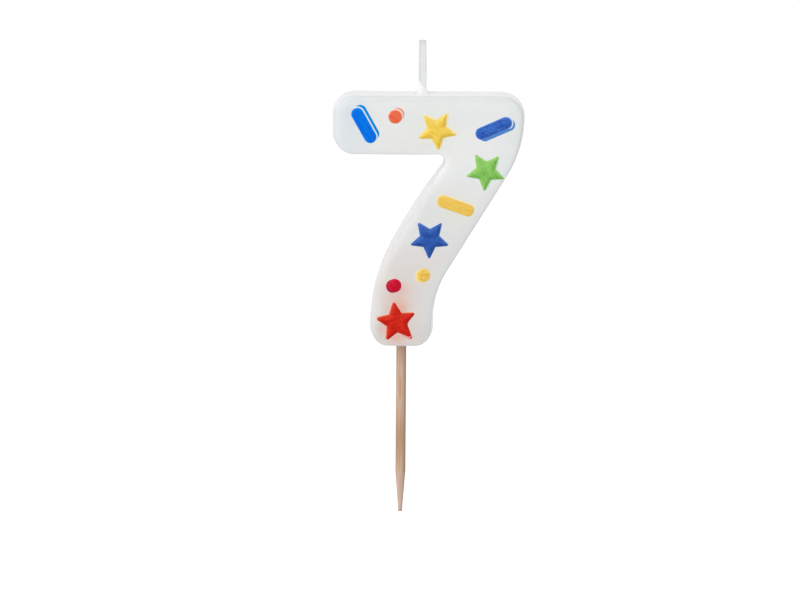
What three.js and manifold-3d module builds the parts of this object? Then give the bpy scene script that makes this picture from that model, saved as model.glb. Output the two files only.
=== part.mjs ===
// A number birthday candle: a flat wax 7 with coloured wax confetti set in its face, a waxed
// cotton wick, and a wooden stick that is pushed into a cake.
//
// The frame, in millimetres: the origin is where the stick enters the foot of the numeral, +Z is
// up along the stick, +X runs to the reader's right, and the confetti side faces -Y.

import * as THREE from "three";
import { mergeVertices } from "three/addons/utils/BufferGeometryUtils.js";
import Module from "manifold-3d";

const wasm = await Module();
wasm.setup();

// ---- Driving dimensions -----------------------------------------------------------------------

// The numeral's outline, at its back face.
const HEIGHT = 63.6; // foot to top of the bar
const STROKE = 15.8; // height of the bar, and width of the foot
const BAR_LEFT = -17.5;
const BAR_RIGHT = 30.4;
const BAR_ROUND = 5.5; // the bar's two left corners
const SHOULDER_ROUND = 6; // its top right corner
const FOOT_ROUND = 4.6; // the foot's two corners
const CROTCH_ROUND = 1.4; // the inner corner under the bar
const SHOULDER_BEND = 28.5; // the outer edge, from the bar into the slant
const HEEL_BEND = 23; // the outer edge, from the slant into the foot
const SHIN_BEND = 46.5; // the inner edge, from the slant into the foot
const CROTCH_X = 11.5; // where the inner edge meets the bar
const KNEE = { z: 37.2, bend: 100 }; // above it, the inner edge leans a little more

// The leg's two slanting edges: each crosses the height SLANT_Z at x, and leans from the vertical.
const SLANT_Z = 29.3;
const OUTER_SLANT = { x: 18, lean: THREE.MathUtils.degToRad(31.7) };
const INNER_SLANT = { x: -0.9, lean: THREE.MathUtils.degToRad(30.5) };

// The numeral's section, front to back.
const THICKNESS = 9;
const DRAFT = 0.6; // the outline is this much smaller at the front edge
const BAR_TOP = HEIGHT - DRAFT / 2; // the drafted top of the bar, over its middle plane
const EDGE_ROUND = 0.3; // the front edge, between the wall and the bevel
const EDGE_STEPS = 3;
const BEVEL_WIDTH = 1.1; // a shallow bevel between the front edge and the flat of the face
const BEVEL_SLOPE = THREE.MathUtils.degToRad(8);
const BACK_BREAK = 0.25;

// The confetti. Each piece sits in a shallow pocket and stands proud of the face.
const POCKET_DEPTH = 1;
const RELIEF = 0.7;
const CONFETTI_BEVEL = 0.35;
const STAR_NECK_ROUND = 0.25;
const STAR = { tip: 5.25, neck: 2.5, round: 0.3 }; // from the centre to its corners, before rounding
const BLUNT_STAR = { tip: 5.6, neck: 2.65, round: 0.45 };
const BAR_PIECE = { length: 9.6, width: 3.1 };
const DOT_RADIUS = 1.7;
const EDGE_MARGIN = 0.75; // confetti stops this far inside the numeral's outline

// The wooden stick.
const STICK_RADIUS = 1.25;
const STICK_LENGTH = 65;
const STICK_BELOW = 41.6; // how much of it shows below the foot
const STICK_TAPER = 10;
const STICK_TIP_RADIUS = 0.45;
const STICK_CHAMFER = 0.3;

// The wick is a cotton cord with a thicker coat of wax on the length that shows. Its route runs
// from its tip down to its end inside the leg, as [x, z] in the numeral's middle plane.
const CORD_RADIUS = 0.75;
const COAT_RADIUS = 1;
const COAT_ROUND = 0.25;
const WICK_X = 4.85;
const WICK_TOP = 76.7;
const WICK_ROUTE = [
  [WICK_X, WICK_TOP - COAT_ROUND],
  [WICK_X, 72],
  [WICK_X, 67],
  [WICK_X, 62],
  [5.7, 58],
  [8.5, 54.3],
  [12.4, 51],
  [15.2, 46.5],
  [15.2, 41],
  [12.9, 35.3],
  [9.8, 30],
];
const WICK_STEPS = 44;
const COLLAR_HEIGHT = 3; // wax drawn up round the foot of the wick
const COLLAR_WALL = 0.15;
const COLLAR_FLARE = 0.6;
const COLLAR_STEPS = 6;
const COLLAR_ROOT = 1.5; // how far the collar's solid reaches down into the bar

const FIT_GAP = 0.25; // clearance between a piece and the wax round it
const CHORD_ERROR = 0.02; // how far a facet may lie from its true arc

// ---- Outlines ---------------------------------------------------------------------------------

const corner = (x, z, radius) => ({ point: new THREE.Vector2(x, z), radius });

const slantX = (edge, z) => edge.x + (z - SLANT_Z) * Math.tan(edge.lean);
const slantZ = (edge, x) => SLANT_Z + (x - edge.x) / Math.tan(edge.lean);

// The sharp corners of the 7, anticlockwise from the foot, each with the radius that rounds it.
function numeralCorners() {
  const half = STROKE / 2;
  const barBottom = HEIGHT - STROKE;
  return [
    corner(-half, 0, FOOT_ROUND),
    corner(half, 0, FOOT_ROUND),
    corner(half, slantZ(OUTER_SLANT, half), HEEL_BEND),
    corner(BAR_RIGHT, slantZ(OUTER_SLANT, BAR_RIGHT), SHOULDER_BEND),
    corner(BAR_RIGHT, HEIGHT, SHOULDER_ROUND),
    corner(BAR_LEFT, HEIGHT, BAR_ROUND),
    corner(BAR_LEFT, barBottom, BAR_ROUND),
    corner(CROTCH_X, barBottom, CROTCH_ROUND),
    corner(slantX(INNER_SLANT, KNEE.z), KNEE.z, KNEE.bend),
    corner(-half, slantZ(INNER_SLANT, -half), SHIN_BEND),
  ];
}

// A five-pointed star with one point up. Its tips are rounded by round.
function starCorners({ tip, neck, round }) {
  const corners = [];
  for (let i = 0; i < 10; i += 1) {
    const isTip = i % 2 === 0;
    const reach = isTip ? tip : neck;
    const angle = Math.PI / 2 + (i * Math.PI) / 5;
    const radius = isTip ? round : STAR_NECK_ROUND;
    corners.push(corner(reach * Math.cos(angle), reach * Math.sin(angle), radius));
  }
  return corners;
}

// A rounded rectangle. With its radius at half its height it is a bar with round ends, or a disc.
function roundEndedCorners(length, width) {
  const x = length / 2;
  const z = width / 2;
  const radius = z - 1e-3;
  return [corner(-x, -z, radius), corner(x, -z, radius), corner(x, z, radius), corner(-x, z, radius)];
}

const CONFETTI_SHAPES = {
  star: starCorners(STAR),
  bluntStar: starCorners(BLUNT_STAR),
  bar: roundEndedCorners(BAR_PIECE.length, BAR_PIECE.width),
  dot: roundEndedCorners(2 * DOT_RADIUS, 2 * DOT_RADIUS),
};

// The points of an outline with rounded corners, moved inwards by inset. The number of points
// doesn't depend on inset, so that two insets of one outline can be joined by a skin.
function roundedOutline(corners, inset) {
  const points = [];
  corners.forEach(({ point, radius }, i) => {
    const before = corners.at(i - 1).point;
    const after = corners[(i + 1) % corners.length].point;
    const into = point.clone().sub(before).normalize();
    const out = after.clone().sub(point).normalize();
    const inwards = new THREE.Vector2(-into.y - out.y, into.x + out.x).divideScalar(1 + into.dot(out));
    const turn = Math.atan2(into.cross(out), into.dot(out));
    const side = Math.sign(turn);
    const round = Math.max(radius - side * inset, 1e-3);
    const centre = point.clone().addScaledVector(inwards, inset + side * round);
    const start = Math.atan2(into.y, into.x) - (side * Math.PI) / 2;
    const step = 2 * Math.acos(Math.max(1 - CHORD_ERROR / radius, 0.8));
    const count = Math.ceil(Math.abs(turn) / step);
    for (let k = 0; k <= count; k += 1) {
      const angle = start + (turn * k) / count;
      points.push(new THREE.Vector2(Math.cos(angle), Math.sin(angle)).multiplyScalar(round).add(centre));
    }
  });
  return points;
}

// ---- Solids -----------------------------------------------------------------------------------

// A closed skin over the sections {y, inset} of one outline, listed from the back to the front.
function loftGeometry(corners, sections) {
  const rings = sections.map(({ inset }) => roundedOutline(corners, inset));
  const count = rings[0].length;
  const positions = rings.flatMap((ring, k) => ring.flatMap((p) => [p.x, sections[k].y, p.y]));
  const index = [];
  for (let k = 0; k + 1 < rings.length; k += 1) {
    for (let i = 0; i < count; i += 1) {
      const a = k * count + i;
      const b = k * count + ((i + 1) % count);
      index.push(a, b, b + count, a, b + count, a + count);
    }
  }
  const last = (rings.length - 1) * count;
  const capBack = ([a, b, c]) => index.push(a, c, b);
  const capFront = ([a, b, c]) => index.push(last + a, last + b, last + c);
  THREE.ShapeUtils.triangulateShape(rings[0], []).forEach(capBack);
  THREE.ShapeUtils.triangulateShape(rings.at(-1), []).forEach(capFront);
  const geometry = new THREE.BufferGeometry();
  geometry.setAttribute("position", new THREE.Float32BufferAttribute(positions, 3));
  geometry.setIndex(index);
  return geometry;
}

// A solid of revolution about +Z from a profile of [radius, z] pairs that starts and ends on the axis.
function turnedGeometry(profile, segments) {
  const points = profile.map(([radius, z]) => new THREE.Vector2(radius, z));
  return new THREE.LatheGeometry(points, segments).rotateX(Math.PI / 2);
}

function tubeGeometry(curve, radius, steps) {
  const section = new THREE.Shape().absarc(0, 0, radius, 0, 2 * Math.PI);
  return new THREE.ExtrudeGeometry(section, { extrudePath: curve, steps, curveSegments: 6 });
}

function solidOf(geometry, matrix = new THREE.Matrix4()) {
  const bare = geometry.clone().applyMatrix4(matrix);
  bare.deleteAttribute("normal");
  bare.deleteAttribute("uv");
  const merged = mergeVertices(bare, 1e-4);
  return new wasm.Manifold(
    new wasm.Mesh({
      numProp: 3,
      vertProperties: new Float32Array(merged.attributes.position.array),
      triVerts: new Uint32Array(merged.index.array),
    }),
  );
}

function geometryOf(solid) {
  const { vertProperties, triVerts } = solid.getMesh();
  const geometry = new THREE.BufferGeometry();
  geometry.setAttribute("position", new THREE.BufferAttribute(vertProperties, 3));
  geometry.setIndex(new THREE.BufferAttribute(triVerts, 1));
  geometry.computeVertexNormals();
  return geometry;
}

function namedMesh(name, geometry, colour, roughness) {
  const material = new THREE.MeshStandardMaterial({ color: colour, roughness, metalness: 0 });
  const mesh = new THREE.Mesh(geometry, material);
  mesh.name = name;
  return mesh;
}

// ---- The wooden stick -------------------------------------------------------------------------

function makeStick() {
  const top = STICK_LENGTH - STICK_BELOW;
  const profile = [
    [0, -STICK_BELOW],
    [STICK_TIP_RADIUS, -STICK_BELOW],
    [STICK_RADIUS, STICK_TAPER - STICK_BELOW],
    [STICK_RADIUS, top - STICK_CHAMFER],
    [STICK_RADIUS - STICK_CHAMFER, top],
    [0, top],
  ];
  return namedMesh("wooden_stick", turnedGeometry(profile, 24), 0xc9ab90, 0.8);
}

function stickSocket() {
  const radius = STICK_RADIUS + FIT_GAP;
  const top = STICK_LENGTH - STICK_BELOW + FIT_GAP;
  const mouth = -1; // below the foot, so that the cut is open
  return turnedGeometry([[0, mouth], [radius, mouth], [radius, top], [0, top]], 24);
}

// ---- The wick ---------------------------------------------------------------------------------

const wickCurve = new THREE.CatmullRomCurve3(WICK_ROUTE.map(([x, z]) => new THREE.Vector3(x, 0, z)));

function makeWick() {
  const cord = solidOf(tubeGeometry(wickCurve, CORD_RADIUS, WICK_STEPS));
  const bottom = BAR_TOP + COLLAR_HEIGHT + FIT_GAP;
  const profile = [
    [0, bottom],
    [COAT_RADIUS, bottom],
    [COAT_RADIUS, WICK_TOP - COAT_ROUND],
    [COAT_RADIUS - COAT_ROUND, WICK_TOP],
    [0, WICK_TOP],
  ];
  const coat = solidOf(turnedGeometry(profile, 16).translate(WICK_X, 0, 0));
  return namedMesh("wick", geometryOf(cord.add(coat)), 0xe9ebe8, 0.55);
}

// The channel is cut with the same route, and a ball at its blind end clears the wick's end.
function wickChannel() {
  const radius = CORD_RADIUS + FIT_GAP;
  const channel = solidOf(tubeGeometry(wickCurve, radius, WICK_STEPS));
  const end = wickCurve.getPoint(1);
  const ball = new THREE.SphereGeometry(radius, 12, 8).translate(end.x, end.y, end.z);
  return channel.add(solidOf(ball));
}

// A small cone of wax with a hollow curve, standing on the bar round the wick.
function wickCollar() {
  const neck = CORD_RADIUS + FIT_GAP + COLLAR_WALL;
  const profile = [[0, -COLLAR_ROOT], [neck + COLLAR_FLARE, -COLLAR_ROOT]];
  for (let i = 0; i <= COLLAR_STEPS; i += 1) {
    const t = i / COLLAR_STEPS;
    profile.push([neck + COLLAR_FLARE * (1 - t) ** 3, COLLAR_HEIGHT * t]);
  }
  profile.push([0, COLLAR_HEIGHT]);
  return turnedGeometry(profile, 24).translate(WICK_X, 0, BAR_TOP);
}

// ---- The confetti -----------------------------------------------------------------------------

const FACE_Y = -THICKNESS / 2;

// Each piece: its name, shape, centre on the face, anticlockwise turn in degrees, and colour.
const CONFETTI = [
  { name: "bar_sky_blue", shape: "bar", x: -9.65, z: 55.6, turn: -60.4, colour: 0x0b6fe0 },
  { name: "dot_orange", shape: "dot", x: -1.9, z: 57.8, turn: 0, colour: 0xe9603a },
  { name: "star_yellow", shape: "star", x: 8.4, z: 54.5, turn: -30.6, colour: 0xefc341 },
  { name: "bar_royal_blue", shape: "bar", x: 22.5, z: 55.1, turn: 23.8, colour: 0x2f5fb8 },
  { name: "star_green", shape: "star", x: 20.6, z: 44.4, turn: -39.6, colour: 0x7dc04f },
  { name: "bar_yellow", shape: "bar", x: 13.2, z: 35.75, turn: -19.1, colour: 0xebb944 },
  { name: "star_blue", shape: "star", x: 6.8, z: 27.45, turn: -36.5, colour: 0x2451a6 },
  { name: "dot_yellow", shape: "dot", x: 5.4, z: 18.4, turn: 0, colour: 0xe6b748 },
  { name: "dot_crimson", shape: "dot", x: -1.75, z: 15.75, turn: 0, colour: 0xc90f3b },
  { name: "star_red", shape: "bluntStar", x: -1.3, z: 6.65, turn: 8, colour: 0xd42a18 },
];

// A piece's own frame has y = 0 on the numeral's face and +y into the wax.
function confettiGeometry(shape) {
  return loftGeometry(CONFETTI_SHAPES[shape], [
    { y: POCKET_DEPTH - FIT_GAP, inset: 0 },
    { y: CONFETTI_BEVEL - RELIEF, inset: 0 },
    { y: -RELIEF, inset: CONFETTI_BEVEL },
  ]);
}

function pocketGeometry(shape) {
  return loftGeometry(CONFETTI_SHAPES[shape], [
    { y: POCKET_DEPTH, inset: -FIT_GAP },
    { y: -2 * RELIEF, inset: -FIT_GAP },
  ]);
}

// A piece that runs over the numeral's front edge is trimmed to follow the outline.
function makeConfetti({ name, shape, x, z, turn, colour }) {
  const mesh = namedMesh(name, confettiGeometry(shape), colour, 0.35);
  mesh.position.set(x, FACE_Y, z);
  mesh.rotation.y = -THREE.MathUtils.degToRad(turn);
  mesh.updateMatrix();
  const limit = loftGeometry(numeralCorners(), [
    { y: 0, inset: EDGE_MARGIN },
    { y: 2 * FACE_Y, inset: EDGE_MARGIN },
  ]);
  const inOwnFrame = solidOf(limit, mesh.matrix.clone().invert());
  mesh.geometry = geometryOf(solidOf(mesh.geometry).intersect(inOwnFrame));
  return mesh;
}

// ---- The numeral ------------------------------------------------------------------------------

// Back face, side wall with its draft, the rounded front edge, and the bevel up to the front face.
function numeralSections() {
  const back = THICKNESS / 2;
  const sections = [
    { y: back, inset: BACK_BREAK },
    { y: back - BACK_BREAK, inset: 0 },
  ];
  const flatWidth = BEVEL_WIDTH - EDGE_ROUND * (1 - Math.sin(BEVEL_SLOPE));
  const edgeY = FACE_Y + EDGE_ROUND * Math.cos(BEVEL_SLOPE) + flatWidth * Math.tan(BEVEL_SLOPE);
  for (let i = 0; i <= EDGE_STEPS; i += 1) {
    const angle = (i / EDGE_STEPS) * (Math.PI / 2 - BEVEL_SLOPE);
    sections.push({
      y: edgeY - EDGE_ROUND * Math.sin(angle),
      inset: DRAFT + EDGE_ROUND * (1 - Math.cos(angle)),
    });
  }
  sections.push({ y: FACE_Y, inset: DRAFT + BEVEL_WIDTH });
  return sections;
}

function makeNumeral(confetti) {
  let body = solidOf(loftGeometry(numeralCorners(), numeralSections()));
  body = body.add(solidOf(wickCollar()));
  body = body.subtract(wickChannel()).subtract(solidOf(stickSocket()));
  CONFETTI.forEach(({ shape }, i) => {
    body = body.subtract(solidOf(pocketGeometry(shape), confetti[i].matrix));
  });
  return namedMesh("numeral_body", geometryOf(body), 0xe9ebea, 0.45);
}

// ---- The candle -------------------------------------------------------------------------------

const confetti = CONFETTI.map(makeConfetti);
const candle = new THREE.Group();
candle.add(makeNumeral(confetti), makeWick(), makeStick(), ...confetti);

export default candle;
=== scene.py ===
"""The looks of a number birthday candle, built round its CAD frame.

Lengths are in millimetres until a mesh, a light or the camera is made, which are in metres. +X runs
to the reader's right, +Y out of the back face and +Z up. The confetti face looks along -Y.
"""

import math

import bmesh
import bpy
import numpy as np
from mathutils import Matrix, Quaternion, Vector, noise
from mathutils.geometry import delaunay_2d_cdt
from mathutils.kdtree import KDTree


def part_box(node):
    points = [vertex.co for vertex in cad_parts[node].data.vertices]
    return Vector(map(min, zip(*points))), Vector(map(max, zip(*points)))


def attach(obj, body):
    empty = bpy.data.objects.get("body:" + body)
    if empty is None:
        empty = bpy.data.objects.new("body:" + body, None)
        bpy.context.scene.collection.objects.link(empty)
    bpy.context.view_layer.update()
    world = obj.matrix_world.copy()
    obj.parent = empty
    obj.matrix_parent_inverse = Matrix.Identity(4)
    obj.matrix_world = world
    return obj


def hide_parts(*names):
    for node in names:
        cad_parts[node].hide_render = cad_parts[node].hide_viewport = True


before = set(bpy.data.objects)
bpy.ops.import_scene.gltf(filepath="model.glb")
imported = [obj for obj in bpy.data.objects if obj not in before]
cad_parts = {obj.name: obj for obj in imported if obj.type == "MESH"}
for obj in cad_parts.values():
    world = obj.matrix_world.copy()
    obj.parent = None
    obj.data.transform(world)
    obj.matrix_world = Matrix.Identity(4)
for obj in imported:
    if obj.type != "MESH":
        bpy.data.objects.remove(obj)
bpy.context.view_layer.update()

MM = 0.001

# ---- Dimensions: the frame's own boxes, and the CAD design's values for what a box can't say ----


def box_mm(node):
    low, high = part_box(node)
    return np.array(low) / MM, np.array(high) / MM


BODY_LOW, BODY_HIGH = box_mm("numeral_body")
BAR_LEFT, FRONT_Y, _ = BODY_LOW
BAR_RIGHT, BACK_Y, COLLAR_TOP = BODY_HIGH
HEIGHT = 63.6
STROKE = 15.8
BAR_ROUND = 5.5
SHOULDER_ROUND = 6
FOOT_ROUND = 4.6
CROTCH_ROUND = 1.4
SHOULDER_BEND = 28.5
HEEL_BEND = 23
SHIN_BEND = 46.5
SLANT_Z = 29.3
OUTER_SLANT = (18, math.radians(31.7))  # x at SLANT_Z, and lean from the vertical
INNER_SLANT = (-0.9, math.radians(30.5))
KNEE_Z, KNEE_BEND = 37.2, 100
CROTCH = (11.5, HEIGHT - STROKE)
DRAFT = 0.6
EDGE_ROUND = 0.2
BEVEL_WIDTH = 1.1
BEVEL_SLOPE = math.radians(8)
BACK_ROUND = 0.4

STAR_NECK_ROUND = 0.25
STARS = {"star": (5.25, 2.5, 0.3), "blunt_star": (5.6, 2.65, 0.45)}  # tip, neck, and tip's radius
BAR_PIECE = (9.6, 3.1)
DOT_RADIUS = 1.7

WICK_TOP = box_mm("wick")[1][2]
WICK_X = 4.85
WICK_RADIUS = 1.02
WICK_SUNK = 3  # how far the modelled wick reaches down into the wax

STICK_LOW, STICK_HIGH = box_mm("wooden_stick")
STICK_RADIUS = (STICK_HIGH[0] - STICK_LOW[0]) / 2
STICK_TIP_RADIUS = 0.45
STICK_TAPER = 10
STICK_SUNK = 6.0  # how far the modelled stick reaches up into the wax

# ---- Outlines -----------------------------------------------------------------------------------


def rounded_outline(corners, spacing):
    """A function that gives the outline's points for an inset, the same number for every inset.

    corners are (x, z, radius), anticlockwise. Straight stretches are divided at the spacing."""
    points = [np.array(c[:2], float) for c in corners]
    radii = [c[2] for c in corners]
    count = len(points)
    arcs = []
    for i in range(count):
        into = points[i] - points[i - 1]
        out = points[(i + 1) % count] - points[i]
        into, out = into / np.linalg.norm(into), out / np.linalg.norm(out)
        turn = math.atan2(into[0] * out[1] - into[1] * out[0], float(into @ out))
        inwards = np.array((-into[1] - out[1], into[0] + out[0])) / (1 + float(into @ out))
        steps = max(3, math.ceil(abs(turn) * max(radii[i] / spacing, 4)))
        arcs.append((points[i], radii[i], into, turn, inwards, steps))

    def arc_points(arc, inset):
        point, radius, into, turn, inwards, steps = arc
        side = math.copysign(1, turn)
        reach = max(radius - side * inset, 1e-3)
        centre = point + inwards * (inset + side * reach)
        angles = math.atan2(into[1], into[0]) - side * math.pi / 2 + np.linspace(0, turn, steps + 1)
        return centre + reach * np.stack([np.cos(angles), np.sin(angles)], 1)

    bare = [arc_points(arc, 0) for arc in arcs]
    gaps = [np.linalg.norm(bare[(i + 1) % count][0] - bare[i][-1]) for i in range(count)]
    splits = [max(1, round(gap / spacing)) for gap in gaps]

    def ring(inset=0.0):
        parts = [arc_points(arc, inset) for arc in arcs]
        made = []
        for i, part in enumerate(parts):
            made.append(part)
            share = np.linspace(0, 1, splits[i] + 1)[1:-1, None]
            made.append(part[-1] * (1 - share) + parts[(i + 1) % count][0] * share)
        return np.vstack(made)

    return ring


def slant_x(edge, z):
    return edge[0] + (z - SLANT_Z) * math.tan(edge[1])


def slant_z(edge, x):
    return SLANT_Z + (x - edge[0]) / math.tan(edge[1])


def numeral_outline(spacing):
    half = STROKE / 2
    under_bar = HEIGHT - STROKE
    return rounded_outline(
        [
            (-half, 0, FOOT_ROUND),
            (half, 0, FOOT_ROUND),
            (half, slant_z(OUTER_SLANT, half), HEEL_BEND),
            (BAR_RIGHT, slant_z(OUTER_SLANT, BAR_RIGHT), SHOULDER_BEND),
            (BAR_RIGHT, HEIGHT, SHOULDER_ROUND),
            (BAR_LEFT, HEIGHT, BAR_ROUND),
            (BAR_LEFT, under_bar, BAR_ROUND),
            (*CROTCH, CROTCH_ROUND),
            (slant_x(INNER_SLANT, KNEE_Z), KNEE_Z, KNEE_BEND),
            (-half, slant_z(INNER_SLANT, -half), SHIN_BEND),
        ],
        spacing,
    )


def star_outline(tip, neck, tip_round, spacing):
    corners = []
    for i in range(10):
        reach, radius = (neck, STAR_NECK_ROUND) if i % 2 else (tip, tip_round)
        angle = math.pi / 2 + i * math.pi / 5
        corners.append((reach * math.cos(angle), reach * math.sin(angle), radius))
    return rounded_outline(corners, spacing)


def round_ended_outline(length, width, spacing):
    x, z = length / 2, width / 2
    radius = z - 1e-3
    return rounded_outline([(-x, -z, radius), (x, -z, radius), (x, z, radius), (-x, z, radius)], spacing)


def depth_inside(points, ring):
    """How far each point lies inside a closed ring; negative outside it."""
    along = np.roll(ring, -1, 0) - ring
    offset = points[:, None, :] - ring[None]
    share = np.clip((offset * along).sum(2) / (along * along).sum(1), 0, 1)
    nearest = np.linalg.norm(offset - share[..., None] * along, axis=2).min(1)
    above = offset[..., 1] >= 0
    above_end = (points[:, None, 1] - np.roll(ring, -1, 0)[None, :, 1]) >= 0
    cross = along[:, 0] * offset[..., 1] - along[:, 1] * offset[..., 0]
    hits = (above & ~above_end & (cross > 0)).sum(1) - (~above & above_end & (cross < 0)).sum(1)
    return np.where(hits != 0, nearest, -nearest)


def upright(ring, y):
    """An outline's points (x, z), stood up at the depth y."""
    return np.column_stack([ring[:, 0], np.full(len(ring), y), ring[:, 1]])


def level(x, y, z):
    """A ring that lies flat at the height z."""
    return np.column_stack([x, y, np.full(len(x), z)])


def smoothstep(low, high, x):
    t = np.clip((np.asarray(x, float) - low) / (high - low), 0, 1)
    return t * t * (3 - 2 * t)


# ---- Meshes -------------------------------------------------------------------------------------


class Shell:
    """The points, faces and named values per point of one mesh, in millimetres."""

    def __init__(self):
        self.points, self.faces, self.values = [], [], {}

    def add(self, points, faces=(), **values):
        """Adds points and faces that count from the first of those points, and gives that first index."""
        first = len(self.points)
        for name in set(self.values) | set(values):
            column = self.values.setdefault(name, [0.0] * first)
            value = values.get(name, 0.0)
            column.extend(np.broadcast_to(value, len(points)).tolist())
        self.points.extend(np.asarray(points, float).tolist())
        self.faces.extend([first + i for i in face] for face in faces)
        return first

    def bridge(self, first, second, count):
        """Joins two rings of count points, which start at the indices first and second."""
        for i in range(count):
            j = (i + 1) % count
            self.faces.append([first + i, first + j, second + j, second + i])

    def loft(self, rings, **values):
        """Adds rings and joins each to the next. Each value holds one number or row per ring."""
        starts = []
        for k, ring in enumerate(rings):
            starts.append(self.add(ring, **{name: value[k] for name, value in values.items()}))
        for a, b in zip(starts, starts[1:]):
            self.bridge(a, b, len(rings[0]))
        return starts

    def close(self, start, count, apex, **values):
        """Closes a ring with a fan of triangles to one more point."""
        middle = self.add([apex], **values)
        self.faces.extend([start + i, start + (i + 1) % count, middle] for i in range(count))

    def mesh(self, name):
        mesh = bpy.data.meshes.new(name)
        mesh.from_pydata((np.array(self.points) * MM).tolist(), [], self.faces)
        shaped = bmesh.new()
        shaped.from_mesh(mesh)
        bmesh.ops.recalc_face_normals(shaped, faces=shaped.faces)
        shaped.to_mesh(mesh)
        shaped.free()
        for key, column in self.values.items():
            mesh.attributes.new(key, "FLOAT", "POINT").data.foreach_set("value", column)
        mesh.polygons.foreach_set("use_smooth", [True] * len(mesh.polygons))
        return mesh


def make_piece(name, mesh, material):
    mesh.materials.append(material)
    piece = bpy.data.objects.new(name, mesh)
    bpy.context.scene.collection.objects.link(piece)
    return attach(piece, "root")


def let_light_through(piece):
    """Keeps a piece from dimming the light that soaks into the wax round it."""
    piece.visible_shadow = False
    piece.visible_diffuse = False


def joined(name, first, second):
    """The union of two closed shells. Each point takes its values from the nearest one of theirs."""
    pair = [bpy.data.objects.new(name, shell.mesh(name)) for shell in (first, second)]
    for part in pair:
        bpy.context.scene.collection.objects.link(part)
    union = pair[0].modifiers.new("union", "BOOLEAN")
    union.operation, union.solver, union.object = "UNION", "EXACT", pair[1]
    ready = pair[0].evaluated_get(bpy.context.evaluated_depsgraph_get())
    mesh = bpy.data.meshes.new_from_object(ready)
    mesh.name = name
    for part in pair:
        bpy.data.objects.remove(part)
    points = first.points + second.points
    tree = KDTree(len(points))
    for i, point in enumerate(points):
        tree.insert(point, i)
    tree.balance()
    nearest = [tree.find(vertex.co / MM)[1] for vertex in mesh.vertices]
    for key, column in first.values.items():
        both = column + second.values.get(key, [0.0] * len(second.points))
        mesh.attributes[key].data.foreach_set("value", [both[i] for i in nearest])
    return mesh


def fill(ring, spacing):
    """Points on a triangular grid inside a ring, and the triangles over the ring's points and them."""
    low, high = ring.min(0), ring.max(0)
    grid = [
        (x + (k % 2) * spacing / 2, z)
        for k, z in enumerate(np.arange(low[1], high[1], spacing * math.sqrt(0.75)))
        for x in np.arange(low[0], high[0], spacing)
    ]
    grid = np.array(grid)
    inner = grid[depth_inside(grid, ring) > 0.6 * spacing]
    given = [Vector(p) for p in np.vstack([ring, inner])]
    _, _, faces, sources, _, _ = delaunay_2d_cdt(given, [], [list(range(len(ring)))], 1, 1e-7)
    index = [source[0] for source in sources]
    return inner, [[index[i] for i in face] for face in faces]


def wobble(point, size, seed=0.0):
    """Smooth noise from -1 to 1, whose features are about size across."""
    return noise.noise(Vector(point) / size + Vector((seed, 0.37 * seed, -seed)))


# ---- Materials ----------------------------------------------------------------------------------


def linear(red, green, blue):
    """A colour given on the 0 to 255 display scale."""

    def channel(value):
        share = value / 255
        return share / 12.92 if share <= 0.04045 else ((share + 0.055) / 1.055) ** 2.4

    return (channel(red), channel(green), channel(blue), 1)


class Nodes:
    """A short way to write a material's node tree."""

    def __init__(self, name):
        self.material = bpy.data.materials.new(name)
        self.material.use_nodes = True
        self.tree = self.material.node_tree
        self.shader = self.tree.nodes["Principled BSDF"]

    def set(self, node, inputs):
        for key, value in inputs.items():
            if isinstance(value, bpy.types.NodeSocket):
                self.tree.links.new(value, node.inputs[key])
            else:
                node.inputs[key].default_value = value
        return node

    def new(self, kind, inputs, **settings):
        node = self.tree.nodes.new("ShaderNode" + kind)
        for key, value in settings.items():
            setattr(node, key, value)
        return self.set(node, inputs)

    def position(self, scale=(1, 1, 1)):
        """The point's own place on the object in millimetres, stretched by scale."""
        place = self.new("TexCoord", {}).outputs["Object"]
        factors = tuple(s / MM for s in scale)
        return self.new("VectorMath", {0: place, 1: factors}, operation="MULTIPLY").outputs[0]

    def noise(self, size, scale=(1, 1, 1), detail=3.0, roughness=0.5, distortion=0.0):
        inputs = {
            "Vector": self.position(scale),
            "Scale": 1 / size,
            "Detail": detail,
            "Roughness": roughness,
            "Distortion": distortion,
        }
        return self.new("TexNoise", inputs).outputs["Fac"]

    def span(self, value, low, high, to_low=0.0, to_high=1.0):
        inputs = {"Value": value, "From Min": low, "From Max": high, "To Min": to_low, "To Max": to_high}
        return self.new("MapRange", inputs, interpolation_type="SMOOTHSTEP").outputs["Result"]

    def attribute(self, name):
        return self.new("Attribute", {}, attribute_name=name).outputs["Fac"]

    def blend(self, share, first, second, mode="MIX"):
        """A colour: first, with second mixed over it by share."""
        node = self.new("Mix", {}, data_type="RGBA", blend_type=mode)
        for key, value in ((0, share), (6, first), (7, second)):
            if isinstance(value, bpy.types.NodeSocket):
                self.tree.links.new(value, node.inputs[key])
            else:
                node.inputs[key].default_value = value
        return node.outputs[2]

    def maths(self, operation, first, second):
        return self.new("Math", {0: first, 1: second}, operation=operation).outputs[0]

    def bump(self, height, distance, strength=1.0, under=None):
        inputs = {"Height": height, "Distance": distance * MM, "Strength": strength}
        if under is not None:
            inputs["Normal"] = under
        return self.new("Bump", inputs).outputs["Normal"]


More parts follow.
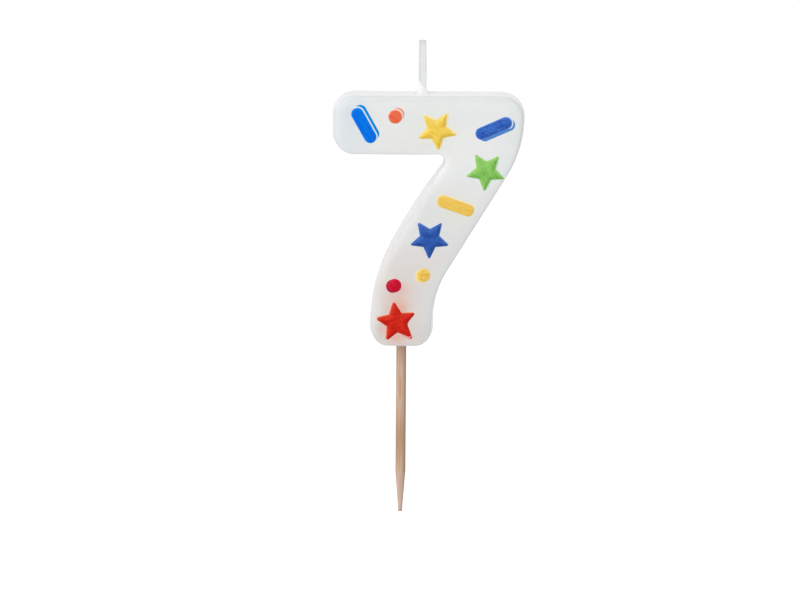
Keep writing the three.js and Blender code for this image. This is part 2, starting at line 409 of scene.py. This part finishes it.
def make_wax():
    """Milky candle wax: cool and neutral whites in soft clouds, a faint grain, light soaking in, and the
    mesh's tints: red and gold stains, and painted shade and light.
    """
    wax = Nodes("white_wax")
    clouds = wax.span(wax.noise(14, detail=2), 0.35, 0.65)
    tone = wax.blend(clouds, linear(232, 235, 235), linear(236, 236, 234))
    mottle = wax.span(wax.noise(1.6, detail=4, roughness=0.6), 0.3, 0.75)
    tone = wax.blend(wax.maths("MULTIPLY", mottle, 0.3), tone, linear(226, 229, 228))
    # Painted shade, laid out by wax_tints.
    tone = wax.blend(wax.attribute("shade"), tone, linear(212, 215, 216))
    tone = wax.blend(wax.attribute("cool"), tone, linear(216, 224, 230))
    tone = wax.blend(wax.attribute("warm"), tone, linear(224, 211, 204))
    tone = wax.blend(wax.attribute("pink"), tone, linear(234, 172, 152))
    tone = wax.blend(wax.attribute("gold"), tone, linear(236, 224, 180))
    # Painted light on the side wall, on the collar's right side and by the inner corner.
    tone = wax.blend(wax.attribute("wall"), tone, linear(250, 250, 250))
    # Painted shade along the front edge and over the bevel.
    tone = wax.blend(wax.attribute("line"), tone, linear(184, 188, 189))
    grain = wax.noise(0.5, detail=3)
    skin = wax.bump(wax.noise(4, detail=2), 0.06)
    wax.set(
        wax.shader,
        {
            "Base Color": tone,
            "Roughness": wax.span(wax.noise(2.2, detail=3), 0.3, 0.7, 0.34, 0.48),
            "IOR": 1.44,
            "Subsurface Weight": 1.0,
            "Subsurface Radius": (1.0, 0.96, 0.92),
            "Subsurface Scale": 3.0 * MM,
            "Normal": wax.bump(grain, 0.012, under=skin),
        },
    )
    return wax.material


def make_paint(item):
    """Coloured wax over the white: streaky and speckled along the piece, lighter at its rim, with painted
    light and shade on a star's sides.
    """
    paint = Nodes(item["name"])
    body, deep, pale, ghost = (linear(*item[key]) for key in ("body", "deep", "pale", "ghost"))
    gap = linear(*item.get("gap", item["ghost"]))
    spin = paint.new(
        "VectorRotate",
        {"Vector": paint.position(), "Angle": math.radians(item["turn"])},
        rotation_type="Y_AXIS",
    )
    along = paint.new("VectorMath", {0: spin.outputs[0], 1: (0.35, 1, 1.6)}, operation="MULTIPLY")
    strokes = paint.new(
        "TexNoise",
        {"Vector": along.outputs[0], "Scale": 1.1, "Detail": 4.0, "Roughness": 0.62},
    )
    streak = strokes.outputs["Fac"]
    colour = paint.blend(paint.span(streak, 0.38, 0.68), body, deep)
    speckle = paint.span(paint.noise(0.4, detail=2, roughness=0.7), 0.5, 0.68, 0, item.get("speckle", 0.3))
    colour = paint.blend(speckle, colour, pale)
    rim = paint.span(paint.attribute("depth"), 0.05, 0.4, 1, 0)
    ragged = paint.maths("MULTIPLY", rim, paint.span(paint.noise(0.5, detail=3), 0.25, 0.7, 0.5, 0.95))
    colour = paint.blend(ragged, colour, pale)
    # Painted light on a star's sides that face the lights, painted shade on those facing away.
    colour = paint.blend(paint.attribute("lit"), colour, pale)
    colour = paint.blend(paint.attribute("dim"), colour, deep)
    colour = paint.blend(paint.attribute("ghost"), colour, ghost)
    frayed = paint.span(paint.noise(0.35), 0.2, 0.8, -0.15, 0.15)
    cover = paint.maths("ADD", paint.attribute("paint"), frayed)
    colour = paint.blend(paint.span(cover, 0.4, 0.6), gap, colour)
    paint.set(
        paint.shader,
        {
            "Base Color": colour,
            "Roughness": paint.span(streak, 0.3, 0.75, 0.28, 0.42),
            "IOR": 1.46,
            "Specular IOR Level": item.get("gloss", 0.06),
            "Subsurface Weight": 0.06,
            "Subsurface Radius": (1.0, 0.8, 0.7),
            "Subsurface Scale": 0.4 * MM,
            "Normal": paint.bump(streak, 0.016, under=paint.bump(paint.noise(0.3), 0.006)),
        },
    )
    return paint.material


def make_waxed_cord():
    """Cotton soaked in white wax: greyer at its cut end, with painted shade in the groove between its
    plaits and down its left side.
    """
    cord = Nodes("waxed_cotton")
    fibre = cord.noise(0.16, scale=(1, 1, 0.12), detail=4, roughness=0.6)
    tone = cord.blend(cord.span(fibre, 0.35, 0.7), linear(246, 247, 246), linear(240, 241, 240))
    # Painted shade down the wick's left side and in the groove between its plaits.
    tone = cord.blend(cord.attribute("left"), tone, linear(204, 209, 211))
    tone = cord.blend(cord.attribute("groove"), tone, linear(226, 230, 232))
    tone = cord.blend(cord.attribute("end"), tone, linear(194, 199, 201))
    cord.set(
        cord.shader,
        {
            "Base Color": tone,
            "Roughness": cord.span(fibre, 0.3, 0.7, 0.42, 0.6),
            "IOR": 1.44,
            "Subsurface Weight": 0.9,
            "Subsurface Radius": (1.0, 0.97, 0.94),
            "Subsurface Scale": 0.4 * MM,
            "Normal": cord.bump(fibre, 0.02),
        },
    )
    return cord.material


def make_wood():
    """Pale fine-grained wood: long fibres, a browner stretch, one reddish vein, dark pores and painted
    shade down one side.
    """
    wood = Nodes("bare_wood")
    fibre = wood.noise(0.34, scale=(1, 1, 0.035), detail=5, roughness=0.65)
    tone = wood.blend(wood.span(fibre, 0.32, 0.68), linear(220, 193, 172), linear(192, 160, 138))
    broad = wood.noise(5, scale=(1.6, 1.6, 0.35), detail=2)
    tone = wood.blend(wood.span(broad, 0.45, 0.7, 0, 0.6), tone, linear(184, 150, 122))
    tone = wood.blend(wood.attribute("brown"), tone, linear(176, 138, 104))
    # Painted shade down the stick's right side.
    tone = wood.blend(wood.attribute("dark_side"), tone, linear(166, 134, 106))
    tone = wood.blend(wood.attribute("vein"), tone, linear(186, 120, 78))
    tone = wood.blend(wood.attribute("cut"), tone, linear(206, 178, 160))
    tone = wood.blend(wood.attribute("tip"), tone, linear(150, 112, 82))
    pores = wood.noise(0.12, scale=(1, 1, 0.1), detail=2, roughness=0.7)
    tone = wood.blend(wood.span(pores, 0.66, 0.78, 0, 0.55), tone, linear(140, 104, 78))
    wood.set(
        wood.shader,
        {
            "Base Color": tone,
            "Roughness": wood.span(fibre, 0.3, 0.7, 0.62, 0.82),
            "Specular IOR Level": 0.15,
            "Normal": wood.bump(pores, 0.02, under=wood.bump(fibre, 0.05)),
        },
    )
    return wood.material


# ---- The numeral --------------------------------------------------------------------------------

CONFETTI = [
    {
        "name": "bar_sky_blue",
        "shape": "bar",
        "turn": -60.4,
        "slot": "sky_blue_wax",
        "body": (0, 118, 230),
        "deep": (0, 98, 222),
        "pale": (20, 145, 236),
        "ghost": (0, 140, 224),
        "shift": (0.72, 0.78),
        "gap": (222, 234, 244),
        "gap_side": (0.68, 0.73),
    },
    {
        "name": "dot_orange",
        "shape": "dot",
        "turn": 0,
        "slot": "orange_wax",
        "body": (236, 112, 78),
        "deep": (228, 84, 52),
        "pale": (244, 140, 108),
        "ghost": (246, 158, 140),
        "shift": (0.62, 0.6),
        "gap": (246, 222, 204),
        "gap_side": (0.7, 0.7),
    },
    {
        "name": "star_yellow",
        "shape": "star",
        "turn": -30.6,
        "slot": "yellow_wax",
        "body": (243, 208, 88),
        "deep": (236, 192, 66),
        "pale": (248, 222, 134),
        "ghost": (246, 234, 190),
        "shift": (0.42, 0.22),
        "speckle": 0.5,
    },
    {
        "name": "bar_royal_blue",
        "shape": "bar",
        "turn": 23.8,
        "slot": "royal_blue_wax",
        "body": (58, 108, 196),
        "deep": (34, 78, 168),
        "pale": (100, 142, 216),
        "ghost": (84, 140, 212),
        "shift": (0.8, -0.42),
        "gap": (220, 230, 244),
        "gap_side": (0.97, 0.24),
    },
    {
        "name": "star_green",
        "shape": "star",
        "turn": -39.6,
        "slot": "green_wax",
        "body": (140, 202, 104),
        "deep": (112, 180, 76),
        "pale": (176, 220, 126),
        "ghost": (212, 234, 212),
        "shift": (0.4, 0.05),
    },
    {
        "name": "bar_yellow",
        "shape": "bar",
        "turn": -19.1,
        "slot": "yellow_wax",
        "body": (238, 200, 94),
        "deep": (232, 188, 78),
        "pale": (244, 214, 128),
        "ghost": (246, 232, 188),
        "shift": (0.1, 0.2),
        "speckle": 0.4,
    },
    {
        "name": "star_blue",
        "shape": "star",
        "turn": -36.5,
        "slot": "royal_blue_wax",
        "body": (50, 94, 176),
        "deep": (32, 72, 152),
        "pale": (86, 126, 204),
        "ghost": (130, 164, 216),
        "shift": (0.16, 0.1),
    },
    {
        "name": "dot_yellow",
        "shape": "dot",
        "turn": 0,
        "slot": "yellow_wax",
        "body": (236, 196, 88),
        "deep": (226, 176, 62),
        "pale": (248, 222, 140),
        "ghost": (244, 226, 150),
        "shift": (-0.5, -0.3),
        "speckle": 0.8,
    },
    {
        "name": "dot_crimson",
        "shape": "dot",
        "turn": 0,
        "slot": "crimson_wax",
        "body": (206, 0, 44),
        "deep": (184, 0, 38),
        "pale": (222, 40, 80),
        "ghost": (216, 34, 78),
        "shift": (-0.5, -0.16),
        "gap": (120, 0, 30),
        "gap_side": (-0.95, -0.3),
        "gap_width": 0.2,
        "dome": 0.55,
        "gloss": 0.12,
    },
    {
        "name": "star_red",
        "shape": "blunt_star",
        "turn": 8,
        "slot": "red_wax",
        "body": (213, 38, 24),
        "deep": (190, 20, 12),
        "pale": (244, 116, 76),
        "speckle": 0.14,
        "lit": 0.1,
        "ghost": (228, 76, 66),
        "shift": (0.45, -0.62),
        "gap": (240, 176, 170),
        "gap_side": (-0.3, -0.95),
        "near": (3.2, -2.8),
        "lit_rim": True,
    },
]


def confetti_outline(shape, spacing):
    if shape in STARS:
        return star_outline(*STARS[shape], spacing)
    if shape == "bar":
        return round_ended_outline(*BAR_PIECE, spacing)
    return round_ended_outline(2 * DOT_RADIUS, 2 * DOT_RADIUS, spacing)


def turned(points, degrees):
    angle = math.radians(degrees)
    cos, sin = math.cos(angle), math.sin(angle)
    return points @ np.array([[cos, sin], [-sin, cos]])


def confetti_centre(item):
    """The piece's centre on the face: its CAD box's middle, less how far its outline is off centre."""
    low, high = box_mm(item["name"])
    middle = (low + high)[[0, 2]] / 2
    ring = turned(confetti_outline(item["shape"], 0.5)(), item["turn"])
    return middle - (ring.min(0) + ring.max(0)) / 2


def on_face(ring, height):
    """Points of the front plane's outline, at a height in front of the face."""
    return upright(ring, FRONT_Y - height)


# The rings under the coloured surface: share of the gap's width, height off the face, and paint.
SKIRT = ((1, -0.3, 0), (1, 0.11, 0), (0.1, 0.13, 0), (0, 0.13, 1))
# The rings of the coloured surface, as shares of the piece's outline.
RELIEF_SHARES = (1, 0.985, 0.96, 0.92, 0.87, 0.81, 0.74, 0.66, 0.56, 0.45, 0.33, 0.2, 0.08)
GAP_WIDTH = 0.34
STUDIO_SIDE = (-0.35, 0.94)  # the way, on the face, from which the stars look lit
FILM = 0.07  # thickness of a ghost on the face


def relief_height(item, depth):
    """How far the coloured surface stands off the face, by its distance inside the outline."""
    if item["shape"] in STARS:
        slope = 0.12 + 0.8 * depth
        return 0.74 - 0.06 * np.logaddexp(0, (0.74 - slope) / 0.06)
    width = BAR_PIECE[1] / 2 if item["shape"] == "bar" else DOT_RADIUS
    edge = np.sqrt(np.clip(1 - (1 - np.clip(depth / 0.6, 0, 1)) ** 2, 0, 1))
    return 0.14 + 0.3 * edge + item.get("dome", 0.16) * np.clip(depth / width, 0, 1) ** 0.8


def facing(outline, turn, way):
    """For each point of a turned outline, how squarely its side faces a direction on the face."""
    outwards = turned(outline(-0.05) - outline(0.05), turn)
    outwards /= np.linalg.norm(outwards, axis=1)[:, None]
    return outwards @ (np.asarray(way, float) / np.linalg.norm(way))


def add_ghost(shell, outline, item, centre, near):
    """The faint second print of a piece, a thin film that shows beside it where near is 1."""
    offset = centre + near[:, None] * np.array(item["shift"])
    edge = turned(outline(0.03), item["turn"]) + offset
    inner = turned(outline(0.11), item["turn"]) + offset
    rings = [on_face(edge, -0.2), on_face(edge, FILM / 3), on_face(inner, FILM)]
    starts = shell.loft(rings, ghost=[1] * 3, paint=[1] * 3)
    shell.close(starts[0], len(edge), (centre[0], FRONT_Y + 0.2, centre[1]), ghost=1, paint=1)
    shell.close(starts[-1], len(edge), (centre[0], FRONT_Y - FILM, centre[1]), ghost=1, paint=1)


def make_confetti(item):
    """A raised piece with a second print beside it. Some have a gap between, and a star's lit and
    dim sides are partly painted in."""
    outline = confetti_outline(item["shape"], 0.22)
    centre = confetti_centre(item)
    base = outline()
    near, gap = np.ones(len(base)), np.zeros(len(base))
    if "near" in item:
        near = smoothstep(3.2, 1.8, np.linalg.norm(turned(base, item["turn"]) - item["near"], axis=1))
    if "gap_side" in item:
        gap = near * smoothstep(0.1, 0.75, facing(outline, item["turn"], item["gap_side"]))
    # The red star's pale rim is painted light: it is kept off the sides that face away from the lights.
    unlit_rim = np.zeros(len(base))
    if item.get("lit_rim"):
        unlit_rim = 0.5 * smoothstep(0.3, -0.3, facing(outline, item["turn"], (-1, 0.25)))
    rings, paint, depth = [], [], []
    width = item.get("gap_width", GAP_WIDTH)
    for reach, height, cover in SKIRT:
        spread = (reach * np.clip(gap, 0.01, 1))[:, None]
        ring = base + (outline(-width) - base) * spread
        rings.append(on_face(turned(ring, item["turn"]) + centre, height))
        paint.append(1 - smoothstep(0, 0.3, gap) * (1 - cover))
        depth.append(unlit_rim)
    for share in RELIEF_SHARES:
        inside = depth_inside(base * share * 0.999, base)
        ring = turned(base * share, item["turn"]) + centre
        rings.append(on_face(ring, relief_height(item, inside)))
        paint.append(1)
        depth.append(inside + unlit_rim)
    # Painted light and shade on a star's sides, by how they face the lights.
    facets = facing(outline, item["turn"], STUDIO_SIDE) if item["shape"] in STARS else np.zeros(len(base))
    arms = smoothstep(0.3, 0.75, [1] * len(SKIRT) + list(RELIEF_SHARES))
    lit = item.get("lit", 0.2) * np.outer(arms, smoothstep(0, 0.9, facets))
    dim = 0.42 * np.outer(arms, smoothstep(0, -0.9, facets))
    shell = Shell()
    starts = shell.loft(rings, paint=paint, depth=depth, lit=lit, dim=dim)
    count = len(base)
    top = float(relief_height(item, depth_inside(np.zeros((1, 2)), base))[0])
    shell.close(starts[-1], count, (centre[0], FRONT_Y - top, centre[1]), paint=1, depth=2)
    shell.close(starts[0], count, (centre[0], FRONT_Y + 0.3, centre[1]))
    add_ghost(shell, outline, item, centre, near)
    name = "confetti_" + item["name"]
    piece = make_piece(name, shell.mesh(name), make_paint(item))
    let_light_through(piece)
    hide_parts(item["name"])
    return piece


def glow(points, centre, size):
    """1 at a centre on the face, falling to nothing size away from it."""
    away = np.linalg.norm(points - np.asarray(centre), axis=1)
    return np.exp(-((away / size) ** 2))


# Where red has bled into the wax round the red star: offset from its centre, size and strength.
PINK_STAINS = [
    ((1.05, 3.2), 1.7, 0.68),
    ((0.3, 6.0), 2.6, 0.32),
    ((-3.4, -1.7), 1.3, 0.38),
    ((0.3, -3.9), 2.0, 0.55),
    ((-1.95, 2.8), 1.2, 0.3),
    ((1.8, 8.7), 1.6, 0.26),
]


TOP_SHADE = 0.5  # how dark the face goes along the bar's top; the wall above it stays bright


def wax_tints(points, y, centres, top_shade=TOP_SHADE):
    """How much each tint shows at points (x, z) of the numeral, at the depth y.

    Part of it is studio light painted in. The wax is darker at the foot, the right side, the bar's
    top, left end and underside, and beside the red star, and it is brighter by the inner corner."""
    x, z = points[:, 0], points[:, 1]
    from_right = (np.clip(slant_x(OUTER_SLANT, z), STROKE / 2, BAR_RIGHT) - x) * 0.9
    shade = 0.28 * smoothstep(46, 28, z) + 0.36 * smoothstep(5, 0, from_right)
    shade = shade + 0.2 * smoothstep(54, 49, z) * smoothstep(28, 38, z) * smoothstep(15, 6, x)
    shade = shade + top_shade * smoothstep(HEIGHT - 3, HEIGHT - 1, z)
    shade = shade + 0.6 * smoothstep(BAR_LEFT + 1.2, BAR_LEFT, x) + 0.7 * smoothstep(10, 0, z)
    shade = shade + 0.35 * glow(points, centres["star_red"] + (-5, -2), 4)
    stains = sum(share * glow(points, centres["star_red"] + at, size) for at, size, share in PINK_STAINS)
    pink = smoothstep(2, -3, y) * stains
    gold = 0.2 * glow(points, centres["star_yellow"], 5) + 0.15 * glow(points, centres["bar_yellow"], 4)
    cool = 0.5 * smoothstep(-4, BAR_LEFT, x) + 0.25 * smoothstep(20, BAR_RIGHT, x)
    cool = cool + 0.4 * glow(points, centres["bar_sky_blue"] + (-2, 3), 3)
    bright = 0.16 * glow(points, (17, 51), 9)
    warm = 0.7 * smoothstep(34, 10, z) * smoothstep(-2, 7, from_right)
    warm = warm * (1 - 0.6 * smoothstep(9, 14, from_right) * smoothstep(16, 8, z))
    return {"shade": shade, "pink": pink, "gold": gold, "cool": cool, "warm": warm, "wall": bright}


def side_tints(outline, ring, wall, line):
    """How much painted light brightens the wall, and painted shade darkens the front edge's line, at a
    ring's points.

    The wall's painted light is less where it faces up and left, except near the inner corner. The
    line's painted shade is darkest at the bar's right end and fades out near the inner corner."""
    outwards = outline(-0.05) - outline(0.05)
    lit = smoothstep(-0.2, 1, outwards @ (-0.7, 0.7) / np.linalg.norm(outwards, axis=1))
    at_crotch = glow(ring, CROTCH, 7)
    strength = 0.5 + 0.35 * smoothstep(25, BAR_RIGHT, ring[:, 0]) * smoothstep(36, 48, ring[:, 1])
    return wall * np.maximum(1 - 0.7 * lit, at_crotch), line * strength * (1 - at_crotch)


def make_numeral(wax, centres):
    """The numeral's wall and bevel as a loft, closed by a gently uneven back and face."""
    spacing = 0.55
    outline = numeral_outline(spacing)
    shell = Shell()
    rings, tints = [], []
    sections = numeral_sections()
    for y, inset, wall, line in sections:
        ring = outline(inset)
        rings.append(upright(ring, y))
        tint = wax_tints(ring, y, centres, 0 if wall else TOP_SHADE)
        # Painted light on the wall and painted shade along the front edge.
        bright, dark = side_tints(outline, ring, wall, line)
        tints.append(tint | {"wall": np.maximum(tint["wall"], bright), "line": dark})
    starts = shell.loft(rings, **{key: [tint[key] for tint in tints] for key in tints[0]})
    count = len(rings[0])
    for end, lift in ((0, 0.10), (-1, 0.02)):
        start, (y, inset, _, _) = starts[end], sections[end]
        ring = outline(inset)
        inner, faces = fill(ring, spacing)
        settle = smoothstep(0, 2.5, depth_inside(inner, ring))
        heights = [y + lift * s * wobble((p[0], y, p[1]), 7) for p, s in zip(inner, settle)]
        surface = np.column_stack([inner[:, 0], heights, inner[:, 1]])
        first = shell.add(surface, **wax_tints(inner, y, centres))
        for face in faces:
            shell.faces.append([start + i if i < count else first + i - count for i in face])
    mesh = joined("wax_numeral", shell, make_collar())
    piece = make_piece("wax_numeral", mesh, wax)
    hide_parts("numeral_body")
    return piece


def numeral_sections():
    """(y, inset, wall, line) from back to front. wall paints light on the side, line paints shade along
    its edge.
    """
    sections = []
    for angle in np.linspace(0, math.pi / 2, 5):
        y = BACK_Y - BACK_ROUND * (1 - math.cos(angle))
        sections.append((y, BACK_ROUND * (1 - math.sin(angle)), 0, 0))
    flat = BEVEL_WIDTH - EDGE_ROUND * (1 - math.sin(BEVEL_SLOPE))
    edge_y = FRONT_Y + EDGE_ROUND * math.cos(BEVEL_SLOPE) + flat * math.tan(BEVEL_SLOPE)
    wall_y = sections[-1][0]
    for share in (0.12, 0.25, 0.4, 0.55, 0.7, 0.85, 0.97):
        sections.append((wall_y + (edge_y - wall_y) * share, DRAFT * share, 0.8, 0))
    for angle in np.linspace(0, math.pi / 2 - BEVEL_SLOPE, 6):
        y = edge_y - EDGE_ROUND * math.sin(angle)
        sections.append((y, DRAFT + EDGE_ROUND * (1 - math.cos(angle)), 0, 1))
    for share in (0.2, 0.6, 0.94):
        short = flat * (1 - share)
        y = FRONT_Y + short * math.tan(BEVEL_SLOPE)
        sections.append((y, DRAFT + BEVEL_WIDTH - short, 0, 0.35 * (1 - share)))
    sections.append((FRONT_Y + 0.004, DRAFT + BEVEL_WIDTH + 0.02, 0, 0))
    sections.append((FRONT_Y, DRAFT + BEVEL_WIDTH + 0.12, 0, 0))
    return sections


def make_collar():
    """Wax drawn up round the wick's foot: a long slope on its left, a tight curve on its right, which gets
    painted light.
    """
    foot = HEIGHT - DRAFT / 2 - 0.5
    rise = COLLAR_TOP + 0.5 - foot
    angles = np.linspace(0, 2 * math.pi, 49)[:-1]
    left = smoothstep(0.4, -0.6, np.cos(angles + 0.35))
    rings, wall = [], []
    for share in np.linspace(0, 1, 18):
        slope = (0.85 + 0.12 * np.cos(3 * angles)) * (1 - share) ** 1.2
        curve = 1.5 * (1 - share) ** 4.5
        radius = WICK_RADIUS * 0.95 + left * slope + (1 - left) * curve
        x = WICK_X + radius * np.cos(angles)
        y = radius * np.sin(angles)
        rings.append(level(x, y, foot + rise * share))
        # Painted light on the tight curve on the right, carried by the wall tint.
        wall.append(0.25 * (1 - left) * (1 - share))
    shell = Shell()
    starts = shell.loft(rings, wall=wall)
    shell.close(starts[0], len(angles), (WICK_X, 0, foot))
    shell.close(starts[-1], len(angles), (WICK_X, 0, foot + rise))
    return shell


# ---- The wick -----------------------------------------------------------------------------------


def make_wick(material):
    """A plaited cord with a groove down its front and back, softened by its coat of wax.

    The darker left side is studio light painted in."""
    bottom = HEIGHT - WICK_SUNK
    angles = np.linspace(0, 2 * math.pi, 73)[:-1]
    grooves = (math.radians(-80), math.radians(100))
    # Painted shade down the left side.
    left = 0.8 * smoothstep(-0.5, 0.8, -np.cos(angles))
    rings, groove_values, end_values = [], [], []
    for z in np.linspace(bottom, WICK_TOP - 0.35, 110):
        rise = (z - bottom) / (WICK_TOP - bottom)
        wander = 0.16 * math.sin(z / 2.1) + 0.08 * math.sin(z / 0.83)
        groove = sum(np.exp(-((np.angle(np.exp(1j * (angles - g - wander))) / 0.3) ** 2)) for g in grooves)
        plait = np.cos(2 * math.pi * z / 1.7 + 2.2 * np.abs(np.sin(angles - grooves[0])))
        radius = WICK_RADIUS * (1.0 - 0.05 * smoothstep(0.6, 1, rise))
        radius = radius - 0.03 * groove + 0.008 * plait * (1 - groove)
        rough = np.array([wobble((math.cos(a), math.sin(a), z * 0.8), 0.6, 3) for a in angles])
        radius = radius + 0.01 * rough
        x = WICK_X - 0.1 * rise**2 + radius * np.cos(angles)
        rings.append(level(x, radius * np.sin(angles), z))
        # Painted shade in the groove.
        groove_values.append(0.5 * groove)
        end_values.append(float(smoothstep(WICK_TOP - 2.0, WICK_TOP, z)) * 0.45)
    last = rings[-1]
    centre = np.array([last[:, 0].mean(), 0, 0])
    for share, lift in ((0.9, 0.16), (0.74, 0.26), (0.5, 0.29), (0.25, 0.3)):
        ring = (last - centre) * (share, share, 0) + centre
        rough = np.array([wobble((p[0], p[1], 0), 0.5, 8) for p in ring])
        ring[:, 2] = last[0][2] + lift + 0.05 * rough
        rings.append(ring)
        groove_values.append(0.2)
        end_values.append(0.9)
    shell = Shell()
    starts = shell.loft(rings, groove=groove_values, end=end_values, left=[left] * len(rings))
    count = len(angles)
    shell.close(starts[0], count, (WICK_X, 0, bottom))
    shell.close(starts[-1], count, (centre[0], 0, WICK_TOP - 0.05), end=0.9)
    piece = make_piece("waxed_wick", shell.mesh("waxed_wick"), material)
    let_light_through(piece)
    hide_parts("wick")
    return piece


# ---- The stick ----------------------------------------------------------------------------------


def make_stick(material):
    """A round stick whose point is shaved with a blade, so that its cone has faint flats.

    The darker right side is studio light painted in."""
    tip, top = STICK_LOW[2], STICK_SUNK
    shoulder = tip + STICK_TAPER
    angles = np.linspace(0, 2 * math.pi, 65)[:-1]
    heights = np.concatenate([np.linspace(tip, shoulder, 40), np.linspace(shoulder, top, 90)[1:]])
    # Painted shade down the right side.
    dark_side = 0.85 * smoothstep(0.4, 0.85, np.cos(angles))
    rings, values = [], {"brown": [], "vein": [], "cut": [], "tip": [], "dark_side": []}
    for z in heights:
        flats = 0.5 + 0.5 * np.cos(7 * angles + 0.6)
        edge = shoulder + 0.35 * np.cos(3 * angles + 1)
        cone = np.clip((edge - z) / STICK_TAPER, 0, 1) ** 0.96
        radius = STICK_RADIUS - (STICK_RADIUS - STICK_TIP_RADIUS) * cone
        radius = radius * (1 + 0.018 * flats * (cone > 0))
        fibre = np.array([wobble((9 * math.cos(a), 9 * math.sin(a), z * 0.22), 1, 5) for a in angles])
        radius = np.minimum(radius + 0.012 * fibre, STICK_RADIUS + 0.02)
        rings.append(level(radius * np.cos(angles), radius * np.sin(angles), z))
        brown = 0.8 * math.exp(-(((z + 24) / 7.5) ** 2))
        values["brown"].append(brown * (0.6 + 0.4 * np.cos(angles + 2.4)))
        vein = np.exp(-(((angles - math.radians(261)) / 0.13) ** 2))
        values["vein"].append(0.75 * vein * float(smoothstep(-14.0, -12.6, z) * smoothstep(-6.5, -9.5, z)))
        values["cut"].append(0.5 * (cone > 0.02))
        values["dark_side"].append(dark_side)
        values["tip"].append(np.full(len(angles), 0.9 * float(smoothstep(tip + 0.5, tip, z))))
    shell = Shell()
    starts = shell.loft(rings, **values)
    count = len(angles)
    shell.close(starts[0], count, (0, 0, tip + 0.03), tip=0.6)
    shell.close(starts[-1], count, (0, 0, top))
    piece = make_piece("pointed_stick", shell.mesh("pointed_stick"), material)
    let_light_through(piece)
    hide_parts("wooden_stick")
    return piece


# ---- The stage ----------------------------------------------------------------------------------

FRAME_WIDTH = 199.6  # what the picture's width covers at the candle
CAMERA_DISTANCE = 1200
CAMERA_ELEVATION = math.radians(7)
CAMERA_ROLL = math.radians(0.4)
CAMERA_AIM = (-0.4, 0, 11.6)


def make_camera():
    data = bpy.data.cameras.new("camera")
    data.sensor_width = 36
    data.lens = data.sensor_width * CAMERA_DISTANCE / FRAME_WIDTH
    data.clip_start, data.clip_end = 0.05, 20
    camera = bpy.data.objects.new("camera", data)
    back = Vector((0, -math.cos(CAMERA_ELEVATION), math.sin(CAMERA_ELEVATION)))
    camera.location = (Vector(CAMERA_AIM) + back * CAMERA_DISTANCE) * MM
    camera.rotation_mode = "QUATERNION"
    camera.rotation_quaternion = (-back).to_track_quat("-Z", "Y") @ Quaternion((0, 0, 1), CAMERA_ROLL)
    bpy.context.scene.collection.objects.link(camera)
    bpy.context.scene.camera = camera


def make_area_light(name, place, size, power, colour):
    data = bpy.data.lights.new(name, "AREA")
    data.shape = "RECTANGLE"
    data.size, data.size_y = size
    data.energy = power
    data.color = colour
    light = bpy.data.objects.new(name, data)
    light.location = place
    light.rotation_mode = "QUATERNION"
    light.rotation_quaternion = (Vector((0, 0, 0.03)) - Vector(place)).to_track_quat("-Z", "Y")
    bpy.context.scene.collection.objects.link(light)


def make_world():
    """Soft white light from all round, a little stronger overhead."""
    world = bpy.data.worlds.new("studio")
    world.use_nodes = True
    bpy.context.scene.world = world
    tree = world.node_tree
    background = tree.nodes["Background"]
    way = tree.nodes.new("ShaderNodeTexCoord")
    split = tree.nodes.new("ShaderNodeSeparateXYZ")
    ramp = tree.nodes.new("ShaderNodeMapRange")
    tree.links.new(way.outputs["Generated"], split.inputs[0])
    tree.links.new(split.outputs["Z"], ramp.inputs["Value"])
    ramp.inputs["From Min"].default_value = -0.6
    ramp.inputs["From Max"].default_value = 0.9
    ramp.inputs["To Min"].default_value = 0.71
    ramp.inputs["To Max"].default_value = 0.81
    tree.links.new(ramp.outputs["Result"], background.inputs["Strength"])
    background.inputs["Color"].default_value = (1, 1, 1, 1)


def make_backdrop():
    """A white floor that sweeps up into a dome, so that no view shows an edge."""
    floor_z, floor_reach, dome, sweep = -0.16, 1.6, 2.4, 0.8
    profile = [(0.02, floor_z), (floor_reach, floor_z)]
    for angle in np.linspace(0, math.pi / 2, 16)[1:]:
        reach = floor_reach + (dome - floor_reach) * math.sin(angle)
        profile.append((reach, floor_z + sweep * (1 - math.cos(angle))))
    for angle in np.linspace(0, math.pi / 2, 20)[1:-1]:
        profile.append((dome * math.cos(angle), floor_z + sweep + dome * math.sin(angle)))
    turns = np.linspace(0, 2 * math.pi, 97)[:-1]
    shell = Shell()
    rings = [level(r * np.cos(turns), r * np.sin(turns), z) / MM for r, z in profile]
    starts = shell.loft(rings)
    shell.close(starts[0], len(turns), (0, 0, floor_z / MM))
    shell.close(starts[-1], len(turns), (0, 0, (floor_z + sweep + dome) / MM))
    white = Nodes("white_backdrop")
    white.set(
        white.shader,
        {
            "Base Color": (0, 0, 0, 1),
            "Roughness": 1.0,
            "Specular IOR Level": 0.0,
            "Emission Color": (1, 1, 1, 1),
            "Emission Strength": 1.1,
        },
    )
    piece = make_piece("backdrop", shell.mesh("backdrop"), white.material)
    piece.visible_diffuse = False
    piece.visible_glossy = False
    piece.visible_transmission = False
    piece.visible_shadow = False


# ---- The picture --------------------------------------------------------------------------------

make_camera()
make_world()
make_backdrop()
make_area_light("key", (-0.5, -0.72, 0.68), (0.9, 0.9), 4.4, (1, 1, 1))
make_area_light("fill", (-0.75, -0.4, -0.25), (0.6, 0.6), 0.8, (1, 1, 1))

bpy.context.scene.view_settings.view_transform = "Standard"

centres = {item["name"]: confetti_centre(item) for item in CONFETTI}
make_numeral(make_wax(), centres)
make_wick(make_waxed_cord())
make_stick(make_wood())
for item in CONFETTI:
    make_confetti(item)
